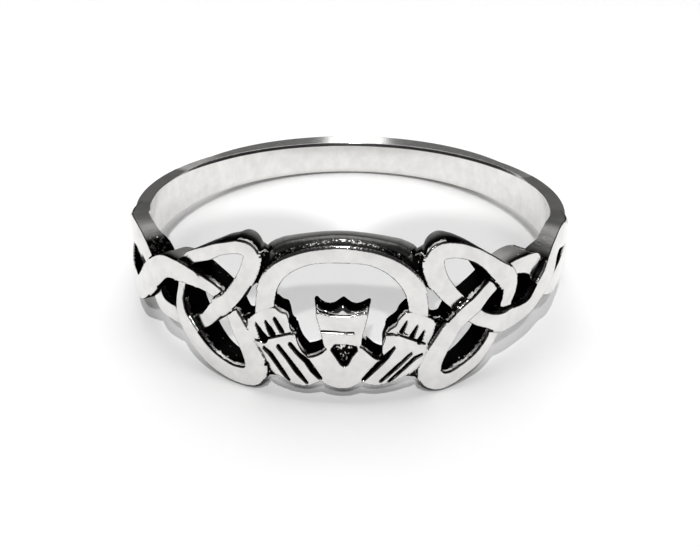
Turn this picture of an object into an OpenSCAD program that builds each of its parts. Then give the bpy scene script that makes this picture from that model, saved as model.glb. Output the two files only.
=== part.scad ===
/* Claddagh finger ring, cast in one piece: a plain tapering band whose two edges
   run on as the strands of a trinity knot on each shoulder, and between the knots
   two arms that end in cuffs and hands round a crowned heart. The front is pierced
   through. It lies on its side, on the tips of its knots and the back of its band.
   Turn is measured round the finger from the middle of the front, + to the right. */

/* [Finger] */
// Inside diameter of the band, a close fit round the finger
finger_d = 17.3; // [14:0.1:22]

/* [Band] */
// Width of the band along the finger, at the middle of the back
band_back_w = 1.52; // [1:0.02:3]
// Width of the band along the finger, where it runs into the front
band_front_w = 2.3; // [1.6:0.05:3.6]
// Thickness of the band at the sides
band_wall = 0.7; // [0.5:0.05:1.4]
// Thickness of the band at the middle of the back
back_wall = 1.3; // [0.8:0.05:2]
// How far round from the middle of the front the plain band ends
band_end = 63; // [61:1:68]

/* [Front] */
// Height of the front along the finger, over arms and knots
front_h = 6.12; // [5:0.05:8]
// Thickness of the front, from finger to knots and figure
front_wall = 1.1; // [0.9:0.05:1.8]
// Nominal width of a knot's strand
strand_w = 1.0; // [0.8:0.02:1.1]
// How far a strand rises where it passes over another, or dips under it
weave_step = 0.13; // [0.05:0.01:0.2]
// Rounding of a strand's upper edges
edge_r = 0.1; // [0.04:0.01:0.15]

/* [Figure] */
// How far the bar behind the arch rises over the arch
arch_rise = 0.17; // [0:0.01:0.2]
// Width of the arms
arm_w = 0.62; // [0.5:0.02:0.72]
// Width of the grooves between fingers and in the cuffs
groove_w = 0.17; // [0.1:0.01:0.22]
// Depth of the grooves between fingers and in the cuffs
groove_d = 0.3; // [0.15:0.05:0.4]
// How far the hands, heart, crown and cuffs rise over the arms
figure_step = 0.05; // [0:0.01:0.12]
// Thickness of the crown, which is thinner than the rest of the figure
crown_wall = 0.75; // [0.5:0.05:0.9]
// How far the webs that tie knots and figure together lie back from the front
web_back = 0.5; // [0.45:0.05:0.65]
// Depth of the notch in the top of the heart
notch_d = 0.4; // [0.2:0.05:0.4]

/* [Hidden] */
finger_r = finger_d / 2;
half = front_h / 2;
front_r = finger_r + front_wall;
band_r = finger_r + band_wall;
lining = 0.05;
/* strands and plates are built in past the finger's hole, which is cut last */
inside_r = finger_r - 6 * lining;
/* webs stand out a shade past the plate behind the hands */
web_r = front_r - web_back;
web_lead = 0.08;
/* the knots' top eases down into the band over these turns, to just under its face */
ease_start = 58;
ease_turn = 26;
ease_under = 0.12;
/* how far each plate of the figure rises over the arms */
cuff_rise = 0.6 * figure_step;
hand_rise = figure_step;
heart_rise = 1.3 * figure_step;
crown_rise = 1.5 * figure_step;

/* back of the band: a second, smaller cylinder set back, so that the wall thickens there */
back_shift = (back_wall - band_wall) * 2.5;
back_r = finger_r + back_wall - back_shift;

/* rest: the lower tips of the knots and the lower back edge of the band share the floor */
foot_z = 0.5025 * front_h;
foot_y = (finger_r + lining) * cos(22);
back_y = finger_r + back_wall;
tilt = atan((foot_z - band_back_w / 2) / (foot_y + back_y));
lift = foot_z * cos(tilt) - foot_y * sin(tilt);
centre_y = ((front_r + heart_rise - back_y) * cos(tilt) + (0.44 * front_h - band_back_w / 2) * sin(tilt)) / 2;

// Rows of a strand: turn, height as a share of half the front, width as a share of the strand's, level
// Left knot: lower edge of the band, up over the strands it meets
left_rise = [
    [-88, -0.15, 1.10, -1.0], [-80, -0.20, 1.10, 0.0], [-73, -0.27, 1.10, 0.2], [-66, -0.32, 1.15, 0.4],
    [-61, -0.31, 1.10, 0.5], [-57, -0.27, 1.00, 0.8], [-53, -0.09, 1.05, 1.0], [-49.5, 0.10, 1.10, 0.7],
    [-45.5, 0.26, 0.95, 0.4], [-40.5, 0.32, 0.85, 1.0]];
// Left knot: down under two strands to the lower tip
left_fall = [
    [-36, 0.29, 0.73, 0.5], [-32.5, 0.24, 0.58, -0.2], [-29.5, 0.16, 0.55, -0.8], [-27, 0.05, 0.56, -1.0],
    [-24.5, -0.12, 0.64, -0.6], [-23, -0.25, 0.72, -0.1], [-21.5, -0.40, 0.75, 0.0], [-20, -0.57, 0.82, 0.0],
    [-19.4, -0.70, 0.85, 0.0], [-19.9, -0.84, 0.85, 0.0], [-22.3, -0.88, 0.75, 0.0]];
// Left knot: back along the bottom of the lower loop and up to the thin crossing
left_foot = [
    [-25.5, -0.87, 0.70, 0.0], [-28.5, -0.82, 0.70, 0.0], [-31, -0.75, 0.70, 0.2], [-33, -0.66, 0.70, 0.5],
    [-35, -0.55, 0.72, 0.8], [-37, -0.41, 0.70, 1.0], [-38.8, -0.26, 0.60, 1.0], [-39.7, -0.10, 0.46, 0.4],
    [-39.8, 0.02, 0.38, -0.2]];
// Left knot: under the rising strand and round the upper loop
left_head = [
    [-39.7, 0.15, 0.42, -0.8], [-39.2, 0.32, 0.50, -1.0], [-37.5, 0.48, 0.50, -0.9], [-34.5, 0.58, 0.52, -0.4],
    [-31, 0.67, 0.56, 0.0], [-28, 0.76, 0.52, 0.0], [-25.5, 0.81, 0.50, 0.0], [-22.6, 0.85, 0.56, 0.0],
    [-20.6, 0.83, 0.62, 0.0], [-19.7, 0.76, 0.66, 0.0], [-19.9, 0.66, 0.66, 0.0]];
// Left knot: down across the falling strand, under the foot
left_cross = [
    [-20.7, 0.53, 0.66, 0.0], [-22, 0.39, 0.66, 0.2], [-24.5, 0.18, 0.66, 0.8], [-26.5, 0.07, 0.66, 1.0],
    [-28.5, -0.03, 0.64, 0.9], [-30.4, -0.15, 0.60, 0.4], [-32.8, -0.27, 0.58, -0.3], [-36.4, -0.36, 0.70, -1.0],
    [-40.7, -0.36, 0.76, -0.8]];
// Left knot: up under the rising strand to the upper edge of the band
left_return = [
    [-43.6, -0.34, 0.70, -0.2], [-46.7, -0.31, 0.74, 0.0], [-49.5, -0.22, 0.80, -0.5], [-51.7, -0.04, 0.85, -1.0],
    [-53.3, 0.14, 0.86, -0.9], [-54.4, 0.25, 0.88, -0.5], [-56, 0.35, 0.95, -0.2], [-59, 0.42, 1.10, 0.0],
    [-65, 0.40, 1.15, 0.2], [-71, 0.32, 1.10, 0.0], [-79, 0.22, 1.10, 0.0], [-88, 0.15, 1.10, -1.0]];

// Right knot: lower edge of the band, rising under the strand it meets
right_rise = [
    [88, -0.15, 1.10, -1.0], [80, -0.14, 1.10, 0.0], [74, -0.10, 1.10, 0.0], [67, -0.01, 1.10, 0.0],
    [62.5, -0.07, 1.05, 0.0], [59.2, -0.13, 0.90, -0.3], [56.4, -0.11, 0.87, -0.6], [54, -0.05, 0.80, -0.9],
    [51.8, 0.11, 0.85, -1.0], [49.6, 0.30, 0.95, -0.5], [46.9, 0.38, 0.84, 0.0], [44.2, 0.41, 0.71, 0.0]];
// Right knot: down under the loop and over the cross to the lower tip
right_fall = [
    [42, 0.40, 0.66, -0.5], [39, 0.34, 0.66, -1.0], [34.5, 0.20, 0.64, -0.8], [31.1, 0.09, 0.70, 0.3],
    [29.4, 0.05, 0.70, 0.8], [27.6, -0.01, 0.68, 1.0], [25.9, -0.11, 0.66, 0.6], [24.4, -0.23, 0.75, 0.1],
    [22.9, -0.36, 0.78, 0.0], [21.5, -0.49, 0.82, 0.0], [20.4, -0.64, 0.86, 0.0], [20.3, -0.80, 0.88, 0.0],
    [22.2, -0.88, 0.80, 0.0]];
// Right knot: back along the bottom of the lower loop
right_foot = [
    [24.2, -0.89, 0.64, 0.0], [26.2, -0.86, 0.57, 0.0], [28.4, -0.80, 0.55, 0.0], [30.5, -0.74, 0.55, 0.0],
    [32.3, -0.67, 0.53, 0.0], [34.3, -0.58, 0.52, -0.3], [36, -0.49, 0.52, -0.7], [37.8, -0.33, 0.60, -1.0],
    [39.5, -0.16, 0.62, -1.0]];
// Right knot: over the rising strand and round the upper loop
right_head = [
    [40.1, -0.02, 0.62, -0.4], [40.3, 0.11, 0.72, 0.2], [39.8, 0.25, 0.78, 0.8], [38.1, 0.38, 0.78, 1.0],
    [36.3, 0.46, 0.76, 0.9], [33.8, 0.59, 0.63, 0.4], [31.2, 0.70, 0.56, 0.0], [28.5, 0.78, 0.57, 0.0],
    [25.7, 0.84, 0.62, 0.0], [22.6, 0.86, 0.70, 0.0], [20.8, 0.82, 0.76, 0.0], [20.2, 0.73, 0.78, 0.0],
    [20.5, 0.61, 0.78, 0.0]];
// Right knot: down under the falling strand, over the foot
right_cross = [
    [21.5, 0.47, 0.76, 0.0], [23.1, 0.34, 0.73, -0.3], [25.3, 0.20, 0.68, -0.9], [28.5, 0.03, 0.66, -1.0],
    [31.7, -0.12, 0.66, -0.5], [34.5, -0.20, 0.62, 0.2], [37.9, -0.26, 0.80, 1.0], [41, -0.26, 0.82, 0.6]];
// Right knot: up over the rising strand to the upper edge of the band
right_return = [
    [44.7, -0.26, 0.72, 0.1], [47.5, -0.23, 0.66, 0.1], [49.6, -0.15, 0.70, 0.4], [51.8, 0.00, 0.85, 0.9],
    [54, 0.12, 0.90, 1.0], [55.2, 0.21, 0.90, 0.8], [56.4, 0.30, 0.86, 0.5], [58.3, 0.39, 0.90, 0.2],
    [61.5, 0.46, 1.00, 0.1], [67, 0.40, 1.10, 0.1], [73, 0.29, 1.10, 0.0], [80, 0.20, 1.10, 0.0],
    [88, 0.15, 1.10, -1.0]];

// Arms: from the left cuff over the top to the right cuff, width as a share of the arms'
arms = [
    [-16.7, -0.14, 1.22, 0.0], [-16.7, 0.06, 1.22, 0.0], [-16.5, 0.24, 1.20, 0.0], [-15.7, 0.42, 1.15, 0.0],
    [-14.3, 0.56, 1.08, 0.0], [-12.4, 0.67, 1.00, 0.0], [-9.5, 0.77, 0.92, 0.0], [-5.5, 0.85, 0.90, 0.0],
    [0, 0.88, 1.00, 0.0], [5.5, 0.85, 0.90, 0.0], [9.3, 0.77, 0.95, 0.0], [12, 0.67, 1.05, 0.0],
    [14.3, 0.54, 1.15, 0.0], [16, 0.38, 1.22, 0.0], [16.8, 0.20, 1.25, 0.0], [16.8, 0.04, 1.28, 0.0],
    [16.7, -0.14, 1.22, 0.0]];
// The thicker bar behind the arch, which rises over its face, from web to web
arch_back = [
    [-18, 0.50, 0.9, -3.5], [-16.5, 0.58, 0.9, -3.5], [-14.6, 0.70, 0.9, -3.5], [-12.8, 0.76, 0.9, -3.5],
    [-11, 0.80, 0.9, -3.5], [-5.5, 0.87, 0.9, -3.5], [0, 0.90, 0.9, -3.5], [5.5, 0.87, 0.9, -3.5],
    [11, 0.80, 0.9, -3.5], [12.8, 0.76, 0.9, -3.5], [14.6, 0.70, 0.9, -3.5], [16.5, 0.58, 0.9, -3.5],
    [18, 0.50, 0.9, -3.5]];

// Outlines of the figure, going round: turn, height as a share of half the front
cuff_left = [
    [-18.8, 0.04], [-20.5, -0.06], [-20.7, -0.14], [-20.2, -0.25], [-19.1, -0.34], [-16.7, -0.28],
    [-13.4, -0.20], [-9.8, -0.16], [-10.9, -0.11], [-11.2, 0], [-11.7, 0.09], [-13.1, 0.10], [-14.4, 0.16]];
cuff_right = [
    [19.3, 0.03], [20.5, -0.02], [20.8, -0.08], [20.3, -0.19], [19.5, -0.30], [18.9, -0.33], [16.9, -0.29],
    [14.6, -0.17], [12.1, -0.14], [9.6, -0.15], [10.3, -0.10], [12, -0.04], [12.6, 0.05], [14.3, 0.14]];
hand_left = [
    [-19.1, -0.34], [-16.7, -0.28], [-13.4, -0.20], [-9.8, -0.16], [-9.2, -0.29], [-8.4, -0.38], [-7.0, -0.47],
    [-3.4, -0.76], [-4.6, -0.80], [-6.8, -0.86], [-8, -0.87], [-10, -0.86], [-11.9, -0.82], [-14.2, -0.75],
    [-15.4, -0.68], [-16.5, -0.54], [-17.7, -0.42]];
hand_right = [
    [19, -0.33], [16.9, -0.29], [14.6, -0.17], [12.1, -0.14], [9.6, -0.15], [9.6, -0.21], [8.9, -0.32],
    [9, -0.40], [9.8, -0.48], [4.2, -0.76], [5, -0.80], [6.4, -0.83], [8.2, -0.84], [10.1, -0.82],
    [12.6, -0.78], [14.9, -0.72], [16.6, -0.65], [17.7, -0.58], [18.6, -0.46]];
heart = [
    [-3.1, -0.33], [-3.9, -0.39], [-5.5, -0.44], [-7.4, -0.47], [-8.7, -0.49], [-7.4, -0.57], [-5.5, -0.68],
    [-4, -0.79], [-2.7, -0.84], [-0.8, -0.87], [0.8, -0.88], [2.3, -0.86], [3.9, -0.81], [5, -0.77],
    [6.6, -0.66], [8.5, -0.55], [9.8, -0.47], [9.1, -0.50], [7.2, -0.45], [5.6, -0.36], [4.4, -0.29]];
crown = [
    [-5.6, 0.22], [-5.2, 0.08], [-4.6, -0.04], [-4.1, -0.15], [-3.4, -0.36], [4.4, -0.33], [4.8, -0.14],
    [5.3, -0.03], [5.8, 0.09], [6.2, 0.22], [5.7, 0.23], [5.0, 0.21], [4.2, 0.18], [3.2, 0.165],
    [2.2, 0.18], [1.3, 0.22], [0.5, 0.26], [-0.4, 0.22], [-1.2, 0.18], [-2.3, 0.16], [-3.5, 0.175],
    [-4.3, 0.21], [-5.0, 0.255]];
// Outline of the web behind hands and heart
back_plate = [
    [-20.3, -0.20], [-10.8, -0.24], [-9.3, -0.44], [-7.5, -0.53], [-5, -0.49], [-3, -0.42], [3.5, -0.41],
    [5.5, -0.47], [8.5, -0.53], [9.4, -0.44], [10.6, -0.24], [20.3, -0.20], [22.2, -0.50], [21, -0.76],
    [16.4, -0.62], [12, -0.74], [8, -0.79], [4.5, -0.74], [0, -0.82], [-4, -0.75], [-8, -0.81],
    [-12, -0.75], [-16, -0.60], [-20.4, -0.78], [-22, -0.50]];
heart_notch = [
    [-2.1, -0.34], [-1.3, -0.27], [1.6, -0.27], [3.5, -0.29], [3.8, -0.34], [2.6, -0.43], [1.7, -0.54],
    [0.9, -0.57], [0.1, -0.54], [-1.1, -0.43]];

// Grooves: turn and height where each begins and ends, width as a share of the grooves'
grooves = [
    [-18.9, -0.11, -16.9, -0.27, 1.6], [-17.0, -0.04, -14.9, -0.20, 1.1], [-14.4, 0.02, -12.6, -0.15, 1.1],
    [-16.6, -0.45, -11.2, -0.81, 1.2], [-13.6, -0.38, -8.6, -0.76, 1.1], [-11, -0.32, -4.4, -0.74, 1.2],
    [14.3, 0.01, 13.2, -0.12, 1.1], [16.7, -0.06, 15.5, -0.20, 1.2], [18.3, -0.14, 17.3, -0.27, 1.3],
    [11.6, -0.33, 5, -0.75, 1.2], [15.4, -0.43, 8.8, -0.78, 1.0], [17.8, -0.46, 10.6, -0.79, 1.0],
    [-3.9, -0.10, 2.8, -0.11, 0.7]];

// Webs that tie the figure to the knots: turn and height at each end, width as a share of the strand's
webs = [
    [-13, 0.55, -20, 0.70, 0.9], [-17, 0.45, -20, 0.55, 0.9], [-18, -0.20, -24, -0.17, 0.6],
    [-19.5, -0.2, -22.5, -0.25, 0.9], [-17, -0.5, -20.5, -0.5, 0.9], [-14, -0.75, -19, -0.78, 0.6],
    [13, 0.55, 20, 0.70, 0.9], [17, 0.45, 20.5, 0.55, 0.9], [18, -0.20, 25.5, -0.17, 0.6],
    [19.5, -0.2, 23, -0.25, 0.9], [18, -0.5, 21, -0.5, 0.9], [15, -0.72, 20, -0.78, 0.6]];

// Top of a strand: the front's radius, easing down into the band past its end
function top_r(turn, level) =
    front_r - (front_wall - band_wall + ease_under) * min(max((abs(turn) - ease_start) / ease_turn, 0), 1)
        + weave_step * level;
function at(turn, z, r) = [r * sin(turn), -r * cos(turn), z];
// A row rolled flat: along the turn and along the finger, in millimetres
function flat(row) = [front_r * row[0] * PI / 180, row[1] * half];
function turned(u, v) = let (c = u[0] * v[1] - u[1] * v[0], d = u * v) atan2(c, d);
// Sideways offset of a strand's edge, less on the inside of a tight bend
function side(rows, i, w, hand) = let (
        n = len(rows) - 1, p = flat(rows[i]),
        a = flat(rows[max(i - 1, 0)]), b = flat(rows[min(i + 1, n)]),
        dir = (b - a) / norm(b - a),
        bend = (i == 0 || i == n) ? 0 : turned(p - a, b - p) * hand,
        reach = (norm(p - a) + norm(b - p)) / 2,
        most = bend > 1 ? 0.85 * reach / (bend * PI / 180) : 9,
        off = min(w * rows[i][2] / 2, most))
    p + hand * off * [-dir[1], dir[0]];
function edge_at(q, r) = at(q[0] / front_r * 180 / PI, q[1], r);
// Section of a strand: up one side, over the rounded top and down the other
function section(rows, i, w) = let (
        a = side(rows, i, w, 1), b = side(rows, i, w, -1),
        r = top_r(rows[i][0], rows[i][3]), in = min(edge_r * 1.6 / (w * rows[i][2]), 0.3))
    [edge_at(a, inside_r), edge_at(a, r - edge_r), edge_at(a + in * (b - a), r),
        edge_at(b + in * (a - b), r), edge_at(b, r - edge_r), edge_at(b, inside_r)];
// One closed length of strand, from section i0 to i1
module length_of_strand(rows, w, i0, i1) {
    pts = [for (i = [i0:i1]) each section(rows, i, w)];
    n = i1 - i0;
    sides = [for (s = [0:n - 1], k = [0:5]) let (a = 6 * s + k, b = 6 * s + (k + 1) % 6)
        each [[a, a + 6, b], [b, a + 6, b + 6]]];
    polyhedron(pts, concat(sides,
        [for (k = [1:4]) [0, k, k + 1]], [for (k = [1:4]) [6 * n, 6 * n + k + 1, 6 * n + k]]));
}
// A whole strand, in overlapping lengths that never cross themselves
module strand(rows, w) {
    n = len(rows) - 1;
    for (k = [0:6:n - 1]) length_of_strand(rows, w, k, min(k + 7, n));
}

// Everything between the inside of the front and a given radius
module shell(r) {
    difference() {
        cylinder(r = r, h = 4 * half, center = true, $fn = 90);
        cylinder(r = inside_r, h = 5 * half, center = true, $fn = 72);
    }
}
function on_front(p) = [front_r * sin(p[0]), p[1] * half];
// A flat shape of the figure, standing on the shell
module plate(outline, rise) {
    intersection() {
        rotate([90, 0, 0]) linear_extrude(height = front_r + 2) polygon([for (p = outline) on_front(p)]);
        shell(front_r + rise);
    }
}
// A straight bar from one place on the front to another
module bar(row, w) {
    a = on_front([row[0], row[1]]);
    b = on_front([row[2], row[3]]);
    d = (b - a) / norm(b - a);
    s = [-d[1], d[0]] * row[4] * w / 2;
    rotate([90, 0, 0]) linear_extrude(height = front_r + 2) polygon([a + s, b + s, b - s, a - s]);
}

// The knots: each is one strand that leaves the band by one edge and comes back by the other
module knots() {
    strand(concat(left_rise, left_fall, left_foot, left_head, left_cross, left_return), strand_w);
    strand(concat(right_rise, right_fall, right_foot, right_head, right_cross, right_return), strand_w);
}

// Arms, cuffs, hands, heart and crown, with their grooves, and the webs behind
module figure() {
    difference() {
        union() {
            strand(arms, arm_w);
            translate([0, 0, arch_rise]) strand(arch_back, arm_w);
            plate(cuff_left, cuff_rise);
            plate(cuff_right, cuff_rise);
            plate(hand_left, hand_rise);
            plate(hand_right, hand_rise);
            plate(heart, heart_rise);
            difference() {
                plate(crown, crown_rise);
                cylinder(r = front_r + crown_rise - crown_wall, h = 5 * half, center = true, $fn = 90);
            }
        }
        for (g = grooves) difference() {
            bar(g, groove_w);
            cylinder(r = front_r - groove_d, h = 5 * half, center = true, $fn = 90);
        }
        difference() {
            rotate([90, 0, 0]) linear_extrude(height = front_r + 2)
                polygon([for (p = heart_notch) on_front(p)]);
            cylinder(r = front_r - notch_d, h = 5 * half, center = true, $fn = 90);
        }
    }
    intersection() {
        union() for (b = webs) bar(b, strand_w);
        shell(web_r + web_lead);
    }
}

// The band: round outside, thicker at the back, its width tapering to the back
module band() {
    end_y = band_r * cos(band_end);
    half_w = band_back_w / 2 - (band_front_w - band_back_w) / 2 / (back_y + end_y);
    intersection() {
        union() {
            cylinder(r = band_r, h = 4 * half, center = true);
            translate([0, back_shift, 0]) cylinder(r = back_r, h = 4 * half, center = true);
        }
        rotate([90, 0, 90]) translate([0, 0, -2 * finger_d]) linear_extrude(height = 4 * finger_d) polygon([
            [-end_y, band_front_w / 2], [-end_y, -band_front_w / 2],
            [back_y + 1, -half_w], [back_y + 1, half_w]]);
    }
}

// The web behind hands and heart, which also ties them to the tips of the knots
module backing() {
    intersection() {
        rotate([90, 0, 0]) linear_extrude(height = front_r + 2) polygon([for (p = back_plate) on_front(p)]);
        cylinder(r = web_r, h = 4 * half, center = true);
    }
}

// Knots and figure, cut out inside a shade wider than the finger, which the band and backing touch
module front() {
    difference() {
        union() {
            knots();
            figure();
        }
        cylinder(r = finger_r + lining, h = 5 * half, center = true, $fn = 72);
    }
}

module claddagh_ring() {
    color([0.8, 0.8, 0.79]) translate([0, centre_y, lift]) rotate([-tilt, 0, 0]) {
        resize([0, 0, front_h + arch_rise]) front();
        difference() {
            union() {
                band();
                backing();
            }
            cylinder(r = finger_r, h = 5 * half, center = true);
        }
    }
}

claddagh_ring();
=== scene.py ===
import bpy
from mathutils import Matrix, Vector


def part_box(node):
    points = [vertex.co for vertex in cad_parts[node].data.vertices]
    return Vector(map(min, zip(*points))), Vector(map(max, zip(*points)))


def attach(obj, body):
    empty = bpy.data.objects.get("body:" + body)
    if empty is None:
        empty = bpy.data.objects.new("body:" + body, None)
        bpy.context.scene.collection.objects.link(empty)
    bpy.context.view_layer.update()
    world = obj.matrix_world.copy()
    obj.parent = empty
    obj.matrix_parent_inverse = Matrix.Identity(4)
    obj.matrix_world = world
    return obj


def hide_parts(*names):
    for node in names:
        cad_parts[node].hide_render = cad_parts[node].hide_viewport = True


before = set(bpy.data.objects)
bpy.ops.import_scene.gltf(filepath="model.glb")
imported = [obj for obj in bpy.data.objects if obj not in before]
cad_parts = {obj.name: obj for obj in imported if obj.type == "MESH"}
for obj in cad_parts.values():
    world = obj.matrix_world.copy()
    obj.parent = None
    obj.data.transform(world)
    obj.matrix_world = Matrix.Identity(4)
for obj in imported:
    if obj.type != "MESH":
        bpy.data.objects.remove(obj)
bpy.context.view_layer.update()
import bpy
import math
import numpy as np
from mathutils import Matrix, Vector

# The ring at rest
# The ring is one casting in silver. It lies on its side, on the lower tips of its knots and
# the back of its band. It is worked out in its own frame, in millimetres: z along the finger,
# turn in degrees from the middle of the front, + to the right. Then it is leant back.
low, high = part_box("claddagh_ring")
BAND_R = round((high.x - low.x) * 1000 / 2, 2)  # the band's outside, the widest part of the ring
FINGER_R = 8.65  # the hole for the finger, 17.3 mm across
FRONT_R = 9.75  # the face of the front
BACK_WALL = 1.3  # the band's thickness at the middle of the back
BACK_Y = FINGER_R + BACK_WALL
BAND_BACK_W = 1.52  # the band's width there
FRONT_H = 6.12  # the front's height
HALF = FRONT_H / 2
FIGURE_RISE = 0.065  # how far heart and crown stand out of the front's face
HEART_TIP = 0.44 * FRONT_H  # the heart's tip, below the middle
KNOT_TIP = 0.5025 * FRONT_H  # the knots' lower tips, below the middle
TIP_R = 8.7  # their distance from the finger's axis
TIP_TURN = 22  # and their turn, to each side
KNOT_TIP_Y = TIP_R * math.cos(math.radians(TIP_TURN))
TILT = math.atan((KNOT_TIP - BAND_BACK_W / 2) / (KNOT_TIP_Y + BACK_Y))
LIFT = KNOT_TIP * math.cos(TILT) - KNOT_TIP_Y * math.sin(TILT)
DEPTH_UPRIGHT = (FRONT_R + FIGURE_RISE - BACK_Y) * math.cos(TILT)
CENTRE_Y = (DEPTH_UPRIGHT + (HEART_TIP - BAND_BACK_W / 2) * math.sin(TILT)) / 2
PLACE = Matrix.Translation((0, CENTRE_Y / 1000, LIFT / 1000)) @ Matrix.Rotation(-TILT, 4, "X")


def in_row(points):
    """Points of the ring's own frame, in millimetres, as metres in the row frame."""
    matrix = np.array(PLACE)
    return (np.asarray(points, float) / 1000) @ matrix[:3, :3].T + matrix[:3, 3]


# The knots
# Each knot is one strand, cast flat-topped with softened edges. It leaves the band by one edge,
# crosses itself over and under, and comes back by the other. Rows: turn, height as a share of
# half the front, width in millimetres, and level, +1 over another strand and -1 under it.
LEFT_KNOT = [
    [[-88, -0.15, 1.10, -1.0], [-80, -0.20, 1.10, 0.0], [-73, -0.27, 1.10, 0.2], [-66, -0.32, 1.15, 0.4],
     [-61, -0.31, 1.10, 0.5], [-57, -0.27, 1.00, 0.8], [-53, -0.09, 1.05, 1.0], [-49.5, 0.10, 1.10, 0.7],
     [-45.5, 0.26, 0.95, 0.4], [-40.5, 0.32, 0.85, 1.0]],
    [[-36, 0.29, 0.73, 0.5], [-32.5, 0.24, 0.58, -0.2], [-29.5, 0.16, 0.55, -0.8], [-27, 0.05, 0.56, -1.0],
     [-24.5, -0.12, 0.64, -0.6], [-23, -0.25, 0.72, -0.1], [-21.5, -0.40, 0.75, 0.0],
     [-20, -0.57, 0.82, 0.0], [-19.4, -0.70, 0.85, 0.0], [-19.9, -0.84, 0.85, 0.0],
     [-22.3, -0.88, 0.75, 0.0]],
    [[-25.5, -0.87, 0.70, 0.0], [-28.5, -0.82, 0.70, 0.0], [-31, -0.75, 0.70, 0.2],
     [-33, -0.66, 0.70, 0.5], [-35, -0.55, 0.72, 0.8], [-37, -0.41, 0.70, 1.0], [-38.8, -0.26, 0.60, 1.0],
     [-39.7, -0.10, 0.46, 0.4], [-39.8, 0.02, 0.38, -0.2]],
    [[-39.7, 0.15, 0.42, -0.8], [-39.2, 0.32, 0.50, -1.0], [-37.5, 0.48, 0.50, -0.9],
     [-34.5, 0.58, 0.52, -0.4], [-31, 0.67, 0.56, 0.0], [-28, 0.76, 0.52, 0.0], [-25.5, 0.81, 0.50, 0.0],
     [-22.6, 0.85, 0.56, 0.0], [-20.6, 0.83, 0.62, 0.0], [-19.7, 0.76, 0.66, 0.0],
     [-19.9, 0.66, 0.66, 0.0]],
    [[-20.7, 0.53, 0.66, 0.0], [-22, 0.39, 0.66, 0.2], [-24.5, 0.18, 0.66, 0.8], [-26.5, 0.07, 0.66, 1.0],
     [-28.5, -0.03, 0.64, 0.9], [-30.4, -0.15, 0.60, 0.4], [-32.8, -0.27, 0.58, -0.3],
     [-36.4, -0.36, 0.70, -1.0], [-40.7, -0.36, 0.76, -0.8]],
    [[-43.6, -0.34, 0.70, -0.2], [-46.7, -0.31, 0.74, 0.0], [-49.5, -0.22, 0.80, -0.5],
     [-51.7, -0.04, 0.85, -1.0], [-53.3, 0.14, 0.86, -0.9], [-54.4, 0.25, 0.88, -0.5],
     [-56, 0.35, 0.95, -0.2], [-59, 0.42, 1.10, 0.0], [-65, 0.40, 1.15, 0.2], [-71, 0.30, 1.04, 0.0],
     [-79, 0.21, 1.08, 0.0], [-88, 0.15, 1.10, -1.0]]]
RIGHT_KNOT = [
    [[88, -0.15, 1.10, -1.0], [80, -0.14, 1.10, 0.0], [74, -0.10, 1.10, 0.0], [67, -0.01, 1.10, 0.0],
     [62.5, -0.07, 1.05, 0.0], [59.2, -0.13, 0.90, -0.3], [56.4, -0.11, 0.87, -0.6],
     [54, -0.05, 0.80, -0.9], [51.8, 0.11, 0.85, -1.0], [49.6, 0.30, 0.95, -0.5], [46.9, 0.38, 0.84, 0.0],
     [44.2, 0.41, 0.71, 0.0]],
    [[42, 0.40, 0.66, -0.5], [39, 0.34, 0.66, -1.0], [34.5, 0.20, 0.64, -0.8], [31.1, 0.09, 0.70, 0.3],
     [29.4, 0.05, 0.70, 0.8], [27.6, -0.01, 0.68, 1.0], [25.9, -0.11, 0.66, 0.6], [24.4, -0.23, 0.75, 0.1],
     [22.9, -0.36, 0.78, 0.0], [21.5, -0.49, 0.82, 0.0], [20.4, -0.64, 0.86, 0.0],
     [20.3, -0.80, 0.88, 0.0], [22.2, -0.88, 0.80, 0.0]],
    [[24.2, -0.89, 0.64, 0.0], [26.2, -0.86, 0.57, 0.0], [28.4, -0.80, 0.55, 0.0],
     [30.5, -0.74, 0.55, 0.0], [32.3, -0.67, 0.53, 0.0], [34.3, -0.58, 0.52, -0.3],
     [36, -0.49, 0.52, -0.7], [37.8, -0.33, 0.60, -1.0], [39.5, -0.16, 0.62, -1.0]],
    [[40.1, -0.02, 0.62, -0.4], [40.3, 0.11, 0.72, 0.2], [39.8, 0.25, 0.78, 0.8], [38.1, 0.38, 0.78, 1.0],
     [36.3, 0.46, 0.76, 0.9], [33.8, 0.59, 0.63, 0.4], [31.2, 0.70, 0.56, 0.0], [28.5, 0.78, 0.57, 0.0],
     [25.7, 0.84, 0.62, 0.0], [22.6, 0.86, 0.70, 0.0], [20.8, 0.82, 0.76, 0.0], [20.2, 0.73, 0.78, 0.0],
     [20.5, 0.61, 0.78, 0.0]],
    [[21.5, 0.47, 0.76, 0.0], [23.1, 0.34, 0.73, -0.3], [25.3, 0.20, 0.68, -0.9], [28.5, 0.03, 0.66, -1.0],
     [31.7, -0.12, 0.66, -0.5], [34.5, -0.20, 0.62, 0.2], [37.9, -0.26, 0.80, 1.0],
     [41, -0.26, 0.82, 0.6]],
    [[44.7, -0.26, 0.72, 0.1], [47.5, -0.23, 0.66, 0.1], [49.6, -0.15, 0.70, 0.4], [51.8, 0.00, 0.85, 0.9],
     [54, 0.12, 0.90, 1.0], [55.2, 0.21, 0.90, 0.8], [56.4, 0.30, 0.86, 0.5], [58.3, 0.39, 0.90, 0.2],
     [61.5, 0.46, 1.00, 0.1], [67, 0.39, 1.06, 0.1], [73, 0.28, 1.06, 0.0], [80, 0.20, 1.08, 0.0],
     [88, 0.15, 1.10, -1.0]]]
WEAVE = 0.13  # how far a strand rises at level 1
STRAND_EDGE = 0.03  # radius of its softened edges
SHOULDER_EDGE = 0.12  # what the shoulders add to that
SHOULDER = (60, 72)  # the turns over which they add it
CROWNING = 0.012  # how far its face falls from the middle to the edges
EASE = (58, 84)  # the turns over which the front eases down into the band
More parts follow.
